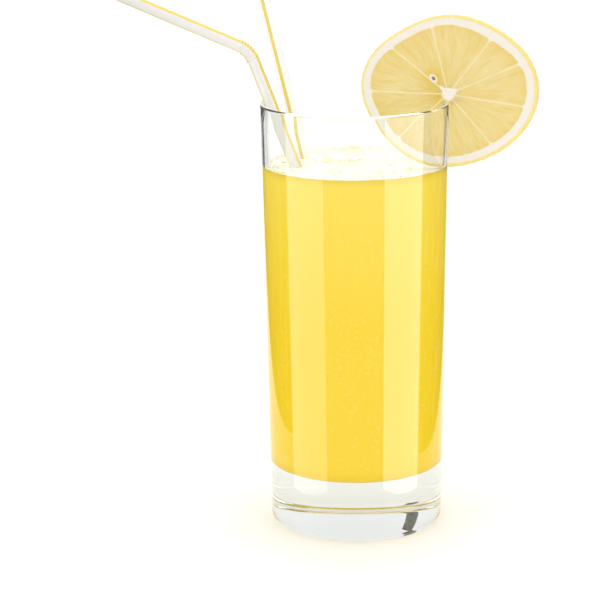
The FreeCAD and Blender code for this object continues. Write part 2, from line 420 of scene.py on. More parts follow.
def bubble_film():
    """A bubble's wet film: almost invisible face on, mirror-like at its edge."""
    material, tree = new_material("bubble_film")
    place = add(tree, "ShaderNodeTexCoord").outputs["Object"]
    swirl = add(tree, "ShaderNodeTexNoise", {"Vector": place, "Scale": 1 / (0.6 * MM)})
    tint = add(tree, "ShaderNodeMix", {
        "Factor": swirl.outputs["Fac"], "A": srgb("#F6EBC4"), "B": srgb("#FBF5DC")},
        data_type="RGBA")
    edge = add(tree, "ShaderNodeLayerWeight", {"Blend": 0.45}).outputs["Facing"]
    wet = add(tree, "ShaderNodeBsdfPrincipled", {
        "Base Color": tint.outputs["Result"], "Roughness": 0.08, "IOR": 1.34})
    clear = add(tree, "ShaderNodeBsdfTransparent", {"Color": srgb("#FFFEF8")})
    seen = add(tree, "ShaderNodeMixShader", {0: edge, 1: clear.outputs[0], 2: wet.outputs[0]})
    add(tree, "ShaderNodeOutputMaterial", {"Surface": seen.outputs[0]})
    return material


# ---- glass and drink ----


def new_tree(name, inputs, output):
    """A geometry tree with named inputs, given as (name, kind of socket). Returns the tree and
    its inputs' sockets."""
    tree = bpy.data.node_groups.new(name, "GeometryNodeTree")
    for socket, kind in inputs:
        tree.interface.new_socket(socket, in_out="INPUT", socket_type="NodeSocket" + kind)
    tree.interface.new_socket(output, in_out="OUTPUT", socket_type="NodeSocketGeometry")
    return tree, add(tree, "NodeGroupInput").outputs


def turning_nodes():
    """A node tree that turns an outline, which lies in the XZ plane and starts and ends on the
    Z axis, about that axis."""
    tree, given = new_tree("turned_shape", (
        ("Outline", "Geometry"), ("Steps", "Int"), ("Material", "Material")), "Turned")
    points = add(tree, "GeometryNodeAttributeDomainSize", {"Geometry": given["Outline"]},
                 component="MESH").outputs["Point Count"]
    around = add(tree, "ShaderNodeMath", {0: given["Steps"], 1: 1.0}, operation="ADD").outputs[0]
    grid = add(tree, "GeometryNodeMeshGrid", {"Vertices X": points, "Vertices Y": around})
    index = add(tree, "GeometryNodeInputIndex").outputs[0]
    share = add(tree, "ShaderNodeMath", {0: index, 1: around}, operation="DIVIDE")
    row = add(tree, "ShaderNodeMath", {0: share.outputs[0]}, operation="FLOOR")
    column = add(tree, "ShaderNodeMath", {0: index, 1: around}, operation="MODULO")
    part = add(tree, "ShaderNodeMath", {0: column.outputs[0], 1: given["Steps"]},
               operation="DIVIDE")
    turn = add(tree, "ShaderNodeMath", {0: part.outputs[0], 1: 2 * math.pi},
               operation="MULTIPLY")
    flat = add(tree, "GeometryNodeInputPosition").outputs[0]
    point = add(tree, "GeometryNodeSampleIndex", {
        "Geometry": given["Outline"], "Value": flat, "Index": row.outputs[0]},
        data_type="FLOAT_VECTOR", domain="POINT")
    turned = add(tree, "ShaderNodeVectorRotate", {
        "Vector": point.outputs["Value"], "Angle": turn.outputs[0]}, rotation_type="Z_AXIS")
    shaped = add(tree, "GeometryNodeSetPosition", {
        "Geometry": grid.outputs["Mesh"], "Position": turned.outputs[0]})
    closed = add(tree, "GeometryNodeMergeByDistance", {
        "Geometry": shaped.outputs[0], "Distance": SAME_PLACE / 2})
    soft = add(tree, "GeometryNodeSetShadeSmooth", {"Geometry": closed.outputs[0]})
    real = add(tree, "GeometryNodeRealizeInstances", {"Geometry": soft.outputs[0]})
    painted = add(tree, "GeometryNodeSetMaterial", {
        "Geometry": real.outputs[0], "Material": given["Material"]})
    add(tree, "NodeGroupOutput", {"Turned": painted.outputs[0]})
    return tree


def make_turned(name, tree, outline, steps, material):
    """Turns an outline of (radius, height) points, from axis to axis, into a closed piece."""
    piece = new_line(name, [(radius, 0.0, height) for radius, height in outline])
    add_nodes(piece, tree, {"Steps": steps, "Material": material})
    bake(piece)
    merge_doubles(piece)
    return piece


def round_corner(before, corner, after, radius, steps):
    """Points along an arc that rounds the corner between two straight runs of an outline."""
    before, corner, after = Vector(before), Vector(corner), Vector(after)
    back, ahead = (before - corner).normalized(), (after - corner).normalized()
    half = back.angle(ahead) / 2
    middle = corner + (back + ahead).normalized() * (radius / math.sin(half))
    start = (corner + back * (radius / math.tan(half)) - middle).normalized()
    end = (corner + ahead * (radius / math.tan(half)) - middle).normalized()
    return [tuple(middle + start.slerp(end, i / steps) * radius) for i in range(steps + 1)]


def run(start, end, steps):
    """Points evenly spaced from a start to just before an end."""
    return [tuple(Vector(start).lerp(Vector(end), i / steps)) for i in range(steps)]


HEEL_ROUND = 2.4 * MM
CAVITY_ROUND = 5.0 * MM
FOOT_RING_WIDTH = 4.5 * MM
PUNT_DEPTH = 1.4 * MM
GLASS_STEPS = 256
PUNT_STEPS = RIM_STEPS = 16
HEEL_STEPS = 10
CORNER_STEPS = 12
GLASS_WALL_STEPS = 24
DRINK_WALL_STEPS = 30
FLAT_SHARE = 0.4     # of a flat floor's radius, where an extra ring keeps its faces even


def make_glass(tree, material):
    """The outline runs from the middle of the punt over the foot, the rim and the cavity."""
    foot = outer_radius(0)
    rim_round = (UPPER_OUTER - UPPER_INNER) / 2
    rim_base = RIM_HEIGHT - rim_round
    rim_outside = (outer_radius(rim_base), rim_base)
    rim_inside = (inner_radius(rim_base), rim_base)
    rim_middle = (rim_outside[0] + rim_inside[0]) / 2
    ring = foot - HEEL_ROUND - FOOT_RING_WIDTH
    floor = FLOOR_OF_CAVITY
    corner = (inner_radius(floor), floor)
    outline = [(ring * step / PUNT_STEPS, PUNT_DEPTH * (1 - (step / PUNT_STEPS) ** 2))
               for step in range(PUNT_STEPS)]
    outline += [(ring, 0.0), (ring + FOOT_RING_WIDTH / 2, 0.0)]
    outline += round_corner((ring, 0), (foot, 0), rim_outside, HEEL_ROUND, HEEL_STEPS)
    outline += run(outline[-1], rim_outside, GLASS_WALL_STEPS)[1:]
    for step in range(RIM_STEPS + 1):
        angle = math.pi * step / RIM_STEPS
        outline.append((rim_middle + rim_round * math.cos(angle),
                        rim_base + rim_round * math.sin(angle)))
    cavity = round_corner(rim_inside, corner, (0, floor), CAVITY_ROUND, CORNER_STEPS)
    outline += run(rim_inside, cavity[0], GLASS_WALL_STEPS)[1:]
    outline += cavity
    outline += [(corner[0] * FLAT_SHARE, floor), (0.0, floor)]
    glass = make_turned("glass_tumbler", tree, outline, GLASS_STEPS, material)
    hand_over(glass, "glass")


INTO_WALL = 0.25 * MM     # so that no silver skin of air shows between drink and glass
MENISCUS_RISE = 1.0 * MM
MENISCUS_REACH = 0.8 * MM
RISE_ON_STRAW = 0.6
DRINK_STEPS = 288
SURFACE_RINGS = 90


def make_drink(tree, body, surface, crossings):
    """The outline runs from the middle of the cavity's floor up the wall and over the surface,
    which then climbs the wall and the straws a little."""
    floor = FLOOR_OF_CAVITY - INTO_WALL
    wall = inner_radius(DRINK_LEVEL)
    edge = wall + INTO_WALL
    corner = (inner_radius(floor) + INTO_WALL, floor)
    outline = [(0.0, floor), (corner[0] * FLAT_SHARE, floor)]
    outline += round_corner((0, floor), corner, (edge, DRINK_LEVEL), CAVITY_ROUND + INTO_WALL,
                            CORNER_STEPS)
    outline += run(outline[-1], (edge, DRINK_LEVEL), DRINK_WALL_STEPS)[1:]
    for ring in range(SURFACE_RINGS):
        outline.append((edge * (1 - ring / SURFACE_RINGS), DRINK_LEVEL))
    outline.append((0.0, DRINK_LEVEL))
    drink = make_turned("lemonade_body", tree, outline, DRINK_STEPS, body)
    mesh = drink.data
    places = np.array([vertex.co for vertex in mesh.vertices])
    mesh.materials.append(surface)
    just_below = DRINK_LEVEL - 0.01 * MM
    mesh.polygons.foreach_set("material_index", np.array(
        [places[list(face.vertices), 2].min() > just_below for face in mesh.polygons],
        np.int32))
    from_wall = wall - np.hypot(places[:, 0], places[:, 1])
    rise = MENISCUS_RISE * np.exp(-np.clip(from_wall, 0, None) / MENISCUS_REACH)
    for crossing in crossings:
        gap = from_straw(places[:, 0], places[:, 1], crossing)
        rise += (RISE_ON_STRAW * MENISCUS_RISE
                 * np.exp(-np.clip(gap, 0, None) / MENISCUS_REACH))
    places[:, 2] += rise * (places[:, 2] > just_below)
    mesh.vertices.foreach_set("co", places.ravel())
    mesh.update()
    hand_over(drink, "lemonade")


# ---- straws ----

STRAW_RADIUS = 2.2 * MM
STRAW_WALL = 0.25 * MM
STRAW_BEND_RADIUS = 10.0 * MM
STRAW_RIBS = 8
STRAW_RIB_HEIGHT = 0.33 * MM
STEPS_PER_RIB = 8
STRAW_STEPS = 48


def from_straw(across, deep, crossing):
    """How far places on the drink's surface are from a straw that crosses it."""
    return np.hypot(across - crossing.x, deep - crossing.y) - STRAW_RADIUS


def surface_crossing(route):
    """Where a straw's middle crosses the drink's surface."""
    foot, shaft = route[:2]
    return foot + shaft * ((DRINK_LEVEL - foot.z) / shaft.z)


def straw_route(node_name):
    """The foot, shaft direction, bend corner, arm direction and tip of a straw in the frame."""
    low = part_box(node_name)[0]
    below = section_middle(node_name, 2, FLOOR_OF_CAVITY + 15 * MM)
    above = section_middle(node_name, 2, RIM_HEIGHT)
    shaft = (above - below).normalized()
    near_tip = section_middle(node_name, 0, low.x + 8 * MM)
    near_bend = section_middle(node_name, 0, low.x + 30 * MM)
    arm = (near_tip - near_bend).normalized()
    places = [Vector(vertex.co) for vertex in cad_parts[node_name].data.vertices]
    foot = below + shaft * min((place - below).dot(shaft) for place in places)
    tip = near_tip + arm * max((place - near_tip).dot(arm) for place in places)
    across = shaft.cross(arm)
    along = (near_tip - foot).cross(arm).dot(across) / across.length_squared
    return foot, shaft, foot + shaft * along, arm, tip


def straw_points(foot, shaft, corner, arm, tip):
    """A straw's centre line, with close points round its bend, and how far along the bend is."""
    turn = shaft.angle(arm)
    reach = STRAW_BEND_RADIUS * math.tan(turn / 2)
    start = corner - shaft * reach
    inwards = (arm - shaft * math.cos(turn)).normalized()
    points = [foot]
    steps = STRAW_RIBS * STEPS_PER_RIB
    for step in range(steps + 1):
        angle = turn * step / steps
        spoke = shaft * math.sin(angle) + inwards * (1 - math.cos(angle))
        points.append(start + spoke * STRAW_BEND_RADIUS)
    points.append(tip)
    bend_start = (start - foot).length
    return points, bend_start, bend_start + STRAW_BEND_RADIUS * turn


def straw_nodes(material):
    """A node tree that sweeps a ring along a line and pleats it between two lengths."""
    sizes = ("Radius", "Bend Start", "Bend End", "Ribs", "Rib Height", "Stripes",
             "Stripe Turn", "Painted Backlight")
    tree, given = new_tree("straw_sweep", (
        ("Path", "Geometry"), *((name, "Float") for name in sizes)), "Straw")
    path = add(tree, "GeometryNodeMeshToCurve", {"Mesh": given["Path"]})
    length = add(tree, "GeometryNodeSplineParameter").outputs["Length"]
    share = add(tree, "ShaderNodeMapRange", {
        "Value": length, "From Min": given["Bend Start"], "From Max": given["Bend End"]})
    pleat = add(tree, "ShaderNodeMath", {0: share.outputs[0], 1: given["Ribs"]},
                operation="MULTIPLY")
    wave = add(tree, "ShaderNodeMath", {0: pleat.outputs[0], 1: 0.5}, operation="PINGPONG")
    rib = add(tree, "ShaderNodeMath", {0: wave.outputs[0], 1: 2.0}, operation="MULTIPLY")
    swell = add(tree, "ShaderNodeMath", {0: rib.outputs[0], 1: given["Rib Height"]},
                operation="MULTIPLY")
    radius = add(tree, "ShaderNodeMath", {0: swell.outputs[0], 1: given["Radius"]},
                 operation="ADD")
    ring = add(tree, "GeometryNodeCurvePrimitiveCircle",
               {"Resolution": STRAW_STEPS, "Radius": 1.0})
    turn = add(tree, "ShaderNodeCombineXYZ", {"Z": given["Stripe Turn"]})
    turned = add(tree, "GeometryNodeTransform", {
        "Geometry": ring.outputs["Curve"], "Rotation": turn.outputs[0]})
    around = add(tree, "GeometryNodeSplineParameter").outputs["Factor"]
    turns = add(tree, "ShaderNodeMath", {0: around, 1: given["Stripes"]}, operation="MULTIPLY")
    within = add(tree, "ShaderNodeMath", {0: turns.outputs[0]}, operation="FRACT")
    offset = add(tree, "ShaderNodeMath", {0: within.outputs[0], 1: 0.5}, operation="SUBTRACT")
    aside = add(tree, "ShaderNodeMath", {0: offset.outputs[0]}, operation="ABSOLUTE")
    marked = add(tree, "GeometryNodeStoreNamedAttribute", {
        "Geometry": turned.outputs[0], "Name": "off_stripe", "Value": aside.outputs[0]},
        data_type="FLOAT", domain="POINT")
    tube = add(tree, "GeometryNodeCurveToMesh", {
        "Curve": path.outputs[0], "Profile Curve": marked.outputs[0],
        "Scale": radius.outputs[0]})
    # Stores how far the straw's body is painted as backlit white rather than shaded grey.
    toned = add(tree, "GeometryNodeStoreNamedAttribute", {
        "Geometry": tube.outputs[0], "Name": "painted_backlight", "Value": given["Painted Backlight"]},
        data_type="FLOAT", domain="POINT")
    soft = add(tree, "GeometryNodeSetShadeSmooth", {"Geometry": toned.outputs[0]})
    real = add(tree, "GeometryNodeRealizeInstances", {"Geometry": soft.outputs[0]})
    painted = add(tree, "GeometryNodeSetMaterial", {
        "Geometry": real.outputs[0], "Material": material})
    add(tree, "NodeGroupOutput", {"Straw": painted.outputs[0]})
    return tree


def make_straw(name, node_name, route, tree, stripe_turn, painted_backlight):
    points, bend_start, bend_end = straw_points(*route)
    straw = new_line(name, points)
    add_nodes(straw, tree, {
        "Radius": STRAW_RADIUS, "Bend Start": bend_start, "Bend End": bend_end,
        "Ribs": float(STRAW_RIBS), "Rib Height": STRAW_RIB_HEIGHT, "Stripes": float(STRIPES),
        "Stripe Turn": math.radians(stripe_turn), "Painted Backlight": painted_backlight})
    wall = straw.modifiers.new("wall", "SOLIDIFY")
    wall.thickness = STRAW_WALL
    wall.offset = -1
    bake(straw)
    hand_over(straw, node_name)


# ---- froth and pulp on the surface ----


def scatter_nodes(name, bit, material, least, greatest):
    """A node tree that scatters small bits over a surface, each turned and sized by chance."""
    tree, given = new_tree(name, (
        ("Surface", "Geometry"), ("Bits per Square Metre", "Float"),
        ("Least Spacing", "Float"), ("Seed", "Int")), "Bits")
    crowd = add(tree, "GeometryNodeInputNamedAttribute", {"Name": "crowd"}, data_type="FLOAT")
    spots = add(tree, "GeometryNodeDistributePointsOnFaces", {
        "Mesh": given["Surface"], "Distance Min": given["Least Spacing"],
        "Density Max": given["Bits per Square Metre"], "Density Factor": crowd.outputs[0],
        "Seed": given["Seed"]}, distribute_method="POISSON")
    shape = add(tree, "GeometryNodeMeshUVSphere", {"Segments": 10, "Rings": 6, "Radius": 1.0})
    soft = add(tree, "GeometryNodeSetShadeSmooth", {"Geometry": shape.outputs["Mesh"]})
    formed = add(tree, "GeometryNodeTransform", {"Geometry": soft.outputs[0], "Scale": bit})
    size = add(tree, "FunctionNodeRandomValue", {"Min": 0.0, "Max": 1.0, "Seed": 3},
               data_type="FLOAT")
    mostly_small = add(tree, "ShaderNodeMath", {0: size.outputs["Value"], 1: 2.0},
                       operation="POWER")
    scale = add(tree, "ShaderNodeMapRange", {
        "Value": mostly_small.outputs[0], "To Min": least, "To Max": greatest})
    turn = add(tree, "FunctionNodeRandomValue", {
        "Min": (0.0, 0.0, 0.0), "Max": (0.3, 0.3, 2 * math.pi), "Seed": 4},
        data_type="FLOAT_VECTOR")
    bits = add(tree, "GeometryNodeInstanceOnPoints", {
        "Points": spots.outputs["Points"], "Instance": formed.outputs[0],
        "Rotation": turn.outputs["Value"], "Scale": scale.outputs[0]})
    real = add(tree, "GeometryNodeRealizeInstances", {"Geometry": bits.outputs[0]})
    painted = add(tree, "GeometryNodeSetMaterial", {
        "Geometry": real.outputs[0], "Material": material})
    add(tree, "NodeGroupOutput", {"Bits": painted.outputs[0]})
    return tree


SCATTER_STEPS = 96
SCATTER_RINGS = 40


def scatter(name, tree, crowd, inputs):
    """Scatters bits over the drink's surface, closer together where crowd(x, y) is high."""
    turn = np.arange(SCATTER_STEPS) * 2 * math.pi / SCATTER_STEPS
    wall = inner_radius(DRINK_LEVEL)
    radius = np.linspace(1 * MM, wall - 0.4 * MM, SCATTER_RINGS)
    across = (radius[:, None] * np.cos(turn)).ravel()
    deep = (radius[:, None] * np.sin(turn)).ravel()
    grid = np.arange(SCATTER_STEPS * SCATTER_RINGS).reshape(SCATTER_RINGS, SCATTER_STEPS)
    ahead = np.roll(grid, -1, axis=1)
    faces = np.stack([grid[:-1], grid[1:], ahead[1:], ahead[:-1]], -1).reshape(-1, 4)
    lift = MENISCUS_RISE * np.exp(-(wall - np.hypot(across, deep)) / MENISCUS_REACH)
    piece = new_piece(name, np.stack([across, deep, DRINK_LEVEL + lift], 1), faces.tolist(), [])
    give_values(piece, "crowd", np.clip(crowd(across, deep), 0, 1))
    add_nodes(piece, tree, inputs)
    bake(piece)
    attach(piece, "root")


CLUSTER_MIDDLE = (-4.5 * MM, 8.5 * MM)
CLUSTER_REACH = (8 * MM, 2.6 * MM)
PULP_OFF_WALL = 2.5 * MM
PULP_OFF_STRAW = 2.4 * MM


def make_froth(crossings):
    """Bubbles gather along the wall, round the straws and in one drift. Pulp floats clear of
    them."""
    wall = inner_radius(DRINK_LEVEL)

    def near_things(across, deep):
        crowd = 0.55 * np.exp(-(wall - np.hypot(across, deep)) / (0.8 * MM))
        for crossing in crossings:
            gap = from_straw(across, deep, crossing)
            crowd += 0.9 * np.exp(-(gap / (1.6 * MM)) ** 2) * (gap > 0.3 * MM)
        cluster = (((across - CLUSTER_MIDDLE[0]) / CLUSTER_REACH[0]) ** 2
                   + ((deep - CLUSTER_MIDDLE[1]) / CLUSTER_REACH[1]) ** 2)
        return crowd + np.exp(-cluster ** 2) + 0.012

    def anywhere(across, deep):
        clear = np.hypot(across, deep) < wall - PULP_OFF_WALL
        for crossing in crossings:
            clear = clear & (from_straw(across, deep, crossing) > PULP_OFF_STRAW)
        return clear * 0.6

    bubbles = scatter_nodes("bubble_scatter", (1.0, 1.0, 0.8), bubble_film(), 0.4 * MM,
                            1.15 * MM)
    scatter("surface_bubbles", bubbles, near_things,
            {"Bits per Square Metre": 9e5, "Least Spacing": 1.15 * MM, "Seed": 7})
    pulp = scatter_nodes("pulp_scatter", (2.6, 0.8, 0.45), lemon_pulp(), 0.35 * MM, 0.75 * MM)
    scatter("floating_pulp", pulp, anywhere,
            {"Bits per Square Metre": 2.4e4, "Least Spacing": 2.6 * MM, "Seed": 12})


# ---- lemon wheel ----

# Places on the wheel are (across, up) from where its slit sits on the middle of the rim.
WHEEL_WIDTH = 61.0 * MM
WHEEL_HEIGHT = 52.0 * MM
WHEEL_THICKNESS = 4.2 * MM
WHEEL_HEADING = math.radians(-10)
WHEEL_LEAN = math.radians(6)
OUTLINE_MIDDLE = (1.1 * MM, 4.3 * MM)
UNEVENNESS = 0.016
CORE_MIDDLE = (0.75 * MM, 3.3 * MM)
CORE_RADIUS = 1.9 * MM
SLIT_HALF_WIDTH = 1.0 * MM
SLIT_TOP = 0.15 * MM
SLIT_GAP = 0.15 * MM
ZEST_DEPTH = 1.35 * MM
PITH_DEPTH = 2.25 * MM
PORE_DEPTH = 0.32 * MM
SEGMENT_WALLS = (-138, -92, -48, -8, 24, 53, 105, 142, 179)     # degrees round the core
SEGMENT_CORNER = 1.7 * MM
SKIN_HALF_WIDTH = 0.12 * MM
SAC_WIDTH = 1.15 * MM
SAC_STRETCH = 7.5
SAC_MIDDLE = 17 * MM     # from the core, where a sac has its true width
SAC_REACH = 34 * MM
SEED_PIT = (-5.2 * MM, 5.3 * MM)
PIT_HALF_SIZE = (1.5 * MM, 1.0 * MM)
RIPE_SPOT = (-3.4 * MM, -1.6 * MM)
FACE_SINK = 0.2 * MM     # keeps the relief inside the wheel's thickness
EDGE_ROUND = 0.55 * MM
EDGE_REACH = 1.3 * MM
EDGE_SWELL = 0.12 * MM
WHEEL_RINGS = 104
WHEEL_STEPS = 380
EDGE_ROWS = 6


def waves_of(angle, seed, count, lowest):
    """A smooth wavy value round a circle, between about -1 and 1."""
    chance = np.random.default_rng(seed)
    total = np.zeros_like(angle)
    for order in range(lowest, lowest + count):
        total += chance.uniform(0.4, 1) * np.cos(order * angle + chance.uniform(0, 2 * math.pi))
    return total / (0.5 * count)


def wheel_outline(angle):
    """The wheel's outline as a distance from the outline's middle, at an angle."""
    oval = 0.5 / np.hypot(np.cos(angle) / WHEEL_WIDTH, np.sin(angle) / WHEEL_HEIGHT)
    uneven = (np.cos(4 * angle + math.radians(28)) + 0.5 * np.cos(3 * angle - math.radians(72))
              + 0.5 * np.cos(5 * angle - math.radians(119)))
    return oval * (1 + UNEVENNESS * uneven)


def reach_from_core(angle):
    """How far the outline is from the core, at an angle about the core."""
    offset = np.array(OUTLINE_MIDDLE) - np.array(CORE_MIDDLE)
    way = np.stack([np.cos(angle), np.sin(angle)])
    reach = np.full_like(angle, WHEEL_WIDTH / 2)
    for _ in range(12):
        across, up = way[0] * reach - offset[0], way[1] * reach - offset[1]
        reach = reach + wheel_outline(np.arctan2(up, across)) - np.hypot(across, up)
    return reach


def juice_sacs(angle, radius, seed):
    """Long juice sacs that fan out from the core. Returns how near each place is to the edge of
    its sac, from 0 in the middle to 1 at the edge, and a tone that each sac has."""
    chance = np.random.default_rng(seed)
    seeds = []
    for column in range(int(2 * math.pi * SAC_MIDDLE / SAC_WIDTH)):
        for row in range(int(SAC_REACH / (SAC_WIDTH * SAC_STRETCH)) + 2):
            shift = 0.5 * (column % 2)
            seeds.append(((column + chance.uniform(0.1, 0.9)) * SAC_WIDTH,
                          (row + shift + chance.uniform(-0.4, 0.4)) * SAC_WIDTH, 0))
    tree = KDTree(len(seeds))
    for index, place in enumerate(seeds):
        tree.insert(place, index)
    tree.balance()
    tones = chance.uniform(0, 1, len(seeds))
    edge, tone = np.zeros_like(angle), np.zeros_like(angle)
    for index, (a, r) in enumerate(zip(np.mod(angle, 2 * math.pi), radius)):
        near = tree.find_n((a * SAC_MIDDLE, r / SAC_STRETCH, 0), 2)
        edge[index] = 1 - min((near[1][2] - near[0][2]) / (0.5 * SAC_WIDTH), 1)
        tone[index] = tones[near[0][1]]
    return edge, tone


def bump_at(value, middle, reach):
    """A smooth bump of height 1 at a middle, which fades over a reach."""
    return np.exp(-((value - middle) / reach) ** 2)


def wheel_face(angle, radius, reach, seed):
    """The tissues and the relief of one cut face, at places given by angle and radius."""
    depth = reach - radius
    turn = np.angle(np.exp(1j * angle))
    across, up = radius * np.cos(angle), radius * np.sin(angle)

    # the rind, bumpy outside and thickest at the upper right
    zest_depth = ZEST_DEPTH * (1 + 0.24 * waves_of(angle, 11, 44, 16)
                               + 0.15 * np.cos(angle + 0.4))
    pith_depth = PITH_DEPTH * (1 + 0.12 * waves_of(angle, 12, 5, 2)
                               + 0.28 * bump_at(angle, math.radians(42), 0.3))
    zest = 1 - smooth_step(zest_depth - 0.6 * MM, zest_depth + 0.5 * MM, depth)

    # the segments, with rounded outer corners, round a core that reaches out in two places
    walls = np.radians(SEGMENT_WALLS)
    apart = np.abs(np.angle(np.exp(1j * (angle[:, None] - walls[None, :])))).min(1)
    from_wall = radius * np.sin(np.minimum(apart, math.pi / 2))
    inside = np.clip(SEGMENT_CORNER - from_wall, 0, SEGMENT_CORNER)
    round_off = SEGMENT_CORNER - np.sqrt(SEGMENT_CORNER ** 2 - inside ** 2)
    flesh_depth = depth - zest_depth - pith_depth - 0.75 * round_off
    core = (CORE_RADIUS + 2.0 * MM * bump_at(turn, math.radians(137), 0.2)
            + 1.5 * MM * bump_at(turn, math.radians(27), 0.28))
    in_flesh = (smooth_step(0, 0.4 * MM, flesh_depth)
                * smooth_step(core, core + 0.6 * MM, radius))
    thin = SKIN_HALF_WIDTH * (0.8 + 0.6 * radius / reach)
    skin = 1 - smooth_step(thin, thin + 0.22 * MM, from_wall)
    edge, tone = juice_sacs(angle + 0.012 * np.sin(radius / (2.2 * MM)), radius, seed)

    # the pit that a seed left, with its long way towards the core
    way = Vector(SEED_PIT).normalized()
    along = (across - SEED_PIT[0]) * way.x + (up - SEED_PIT[1]) * way.y
    aside = (up - SEED_PIT[1]) * way.x - (across - SEED_PIT[0]) * way.y
    ring = np.hypot(along / PIT_HALF_SIZE[0], aside / PIT_HALF_SIZE[1])
    pit_wall = 1 - smooth_step(1.0, 1.25, ring)
    pit = 1 - smooth_step(0.35, 0.65, ring)

    # deeper yellow beside the pit and the core, and under the pith
    near_pit = np.hypot(across - SEED_PIT[0], up - SEED_PIT[1])
    near_spot = np.hypot(across - RIPE_SPOT[0], up - RIPE_SPOT[1])
    spots = bump_at(near_pit, 0, 4.2 * MM) + 0.8 * bump_at(near_spot, 0, 3.4 * MM)
    near_pith = np.exp(-np.clip(flesh_depth, 0, None) / (2.5 * MM))
    ripe = np.clip(0.9 * spots + 0.45 * near_pith, 0, 1) * in_flesh

    flesh = in_flesh * (1 - 0.2 * skin) * (1 - pit_wall)
    relief = (0.16 * MM * in_flesh * (1 - skin) * (1 - edge ** 2) - 0.1 * MM * in_flesh
              + 0.05 * MM * skin - 0.35 * MM * (1 - smooth_step(0, 0.8 * core, radius))
              + 0.15 * MM * pit_wall - 0.6 * MM * pit)
    return {"flesh": flesh, "zest": zest, "sac_edge": edge, "sac_tone": tone, "pit": pit,
            "skin": skin * in_flesh, "ripe": ripe}, relief


def make_wheel(material):
    """A polar grid for each cut face, parted by the slit that takes the glass's wall."""
    outwards = Vector((math.cos(WHEEL_HEADING), math.sin(WHEEL_HEADING), 0))
    aside = Vector((-math.sin(WHEEL_HEADING), math.cos(WHEEL_HEADING), 0))
    upwards = Vector((0, 0, math.cos(WHEEL_LEAN))) + aside * math.sin(WHEEL_LEAN)
    forwards = outwards.cross(upwards)
    rim_top = outwards * ((UPPER_OUTER + UPPER_INNER) / 2) + Vector((0, 0, RIM_HEIGHT))
    rim_top += outwards * (outer_radius(RIM_HEIGHT) - UPPER_OUTER)

    share = np.linspace(0, 1, WHEEL_RINGS + 1) ** 0.92
    down = -math.pi / 2
    reach_down = float(reach_from_core(np.array([down]))[0])
    slit_start = CORE_MIDDLE[1] - SLIT_TOP
    radius_down = share * reach_down
    opened = 1 - ((slit_start + SLIT_HALF_WIDTH - radius_down) / SLIT_HALF_WIDTH) ** 2
    opened[radius_down > slit_start + SLIT_HALF_WIDTH] = 1
    half = SLIT_HALF_WIDTH * np.sqrt(np.clip(opened, 0, 1))
    half[radius_down <= slit_start] = 0
    length = np.maximum(radius_down, slit_start)
    right = down + np.arcsin((half - CORE_MIDDLE[0]) / length)
    left = down + np.arcsin((-half - CORE_MIDDLE[0]) / length) + 2 * math.pi
    step = np.linspace(0, 1, WHEEL_STEPS + 1)
    angle = right[:, None] + (left - right)[:, None] * step[None, :]
    reach = reach_from_core(angle.ravel()).reshape(angle.shape)
    radius = share[:, None] * reach
    shape, angle, radius, reach = angle.shape, angle.ravel(), radius.ravel(), reach.ravel()

    pores = PORE_DEPTH * (waves_of(angle, 21, 50, 40) - 0.8)
    radius = radius + np.clip(pores, -0.7 * MM, 0) * smooth_step(0.96, 1.0, radius / reach)
    rounding = EDGE_ROUND * smooth_step(EDGE_REACH, 0, reach - radius) ** 2
    places, values = [], {}
    for side, seed in ((1, 5), (-1, 6)):
        tissues, relief = wheel_face(angle, radius, reach, seed)
        deep = side * (WHEEL_THICKNESS / 2 - FACE_SINK + relief - rounding)
        places.append(np.stack([radius * np.cos(angle) + CORE_MIDDLE[0],
                                radius * np.sin(angle) + CORE_MIDDLE[1], deep], 1))
        for name, value in tissues.items():
            values.setdefault(name, []).append(value)
    grid = np.arange(shape[0] * shape[1]).reshape(shape)
    front, back = grid, grid + grid.size
    faces = []

    def strip(first, second):
        faces.extend(zip(first[:-1], first[1:], second[1:], second[:-1]))

    for ring in range(WHEEL_RINGS):
        strip(front[ring + 1], front[ring])
        strip(back[ring], back[ring + 1])

    def bridge(first, second, swell):
        """Rows that join an edge of the front face to the same edge of the back face. They swell
        outwards halfway, by the length given for each place along the edge."""
        rows = [first]
        for row in range(1, EDGE_ROWS):
            part = row / EDGE_ROWS
            start, end = places[0][first % grid.size], places[1][second % grid.size]
            between = start + (end - start) * part
            away = between[:, :2] - np.array(OUTLINE_MIDDLE)
            away /= np.linalg.norm(away, axis=1)[:, None]
            between[:, :2] += away * swell[:, None] * math.sin(math.pi * part)
            rows.append(np.arange(len(first)) + sum(len(p) for p in places))
            places.append(between)
            for name in values:
                start = values[name][0][first % grid.size]
                end = values[name][1][second % grid.size]
                values[name].append(start + (end - start) * part)
        rows.append(second)
        for upper, lower in zip(rows[:-1], rows[1:]):
            strip(lower, upper)

    bridge(front[-1], back[-1], np.full(shape[1], EDGE_SWELL))
    closed = int(np.argmax(half > 0)) - 1
    at_end = EDGE_SWELL * (np.arange(closed, shape[0]) == shape[0] - 1)
    bridge(front[closed:, 0][::-1], back[closed:, 0][::-1], at_end[::-1])
    bridge(front[closed:, -1], back[closed:, -1], at_end)

    flat = np.concatenate(places)
    solid = np.array(rim_top) + flat @ np.array([outwards, upwards, forwards])
    keep_off_wall(solid, flat[:, 0], outwards)
    wheel = new_piece("lemon_wheel", solid, faces, [material])
    for name, value in values.items():
        give_values(wheel, name, np.concatenate(value))
    merge_doubles(wheel)
    hand_over(wheel, "lemon_slice")


